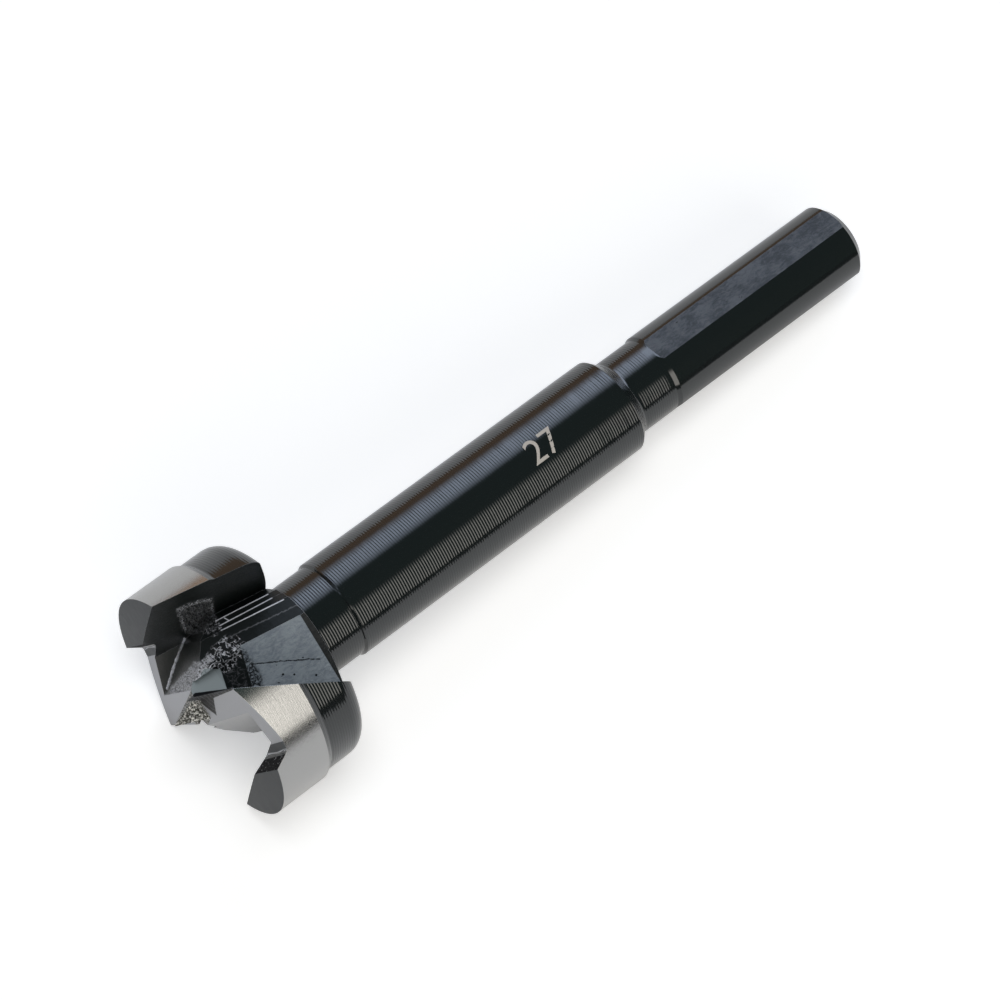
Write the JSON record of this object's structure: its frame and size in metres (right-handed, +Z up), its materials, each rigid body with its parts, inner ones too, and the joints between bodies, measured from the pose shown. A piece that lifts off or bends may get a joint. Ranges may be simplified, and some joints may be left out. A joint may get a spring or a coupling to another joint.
{
  "type": "forstner bit",
  "caption": "Forstner drill bit with two notched-rim wings, chip gullets and a centre point on a turned shaft, with a flatted shank for a drill chuck.",
  "frame": {"origin": "middle of the bounding box, on the surface that the bit lies on", "axes": "+X from the centre point to the shank end along the lying bit, +Z up"},
  "size_m": [0.0952, 0.027, 0.0253],
  "materials": {
    "bit_steel": "black oxide, ground bright on the rim"
  },
  "bodies": {
    "root": {"forstner_bit": "bit_steel"}
  },
  "joints": []
}
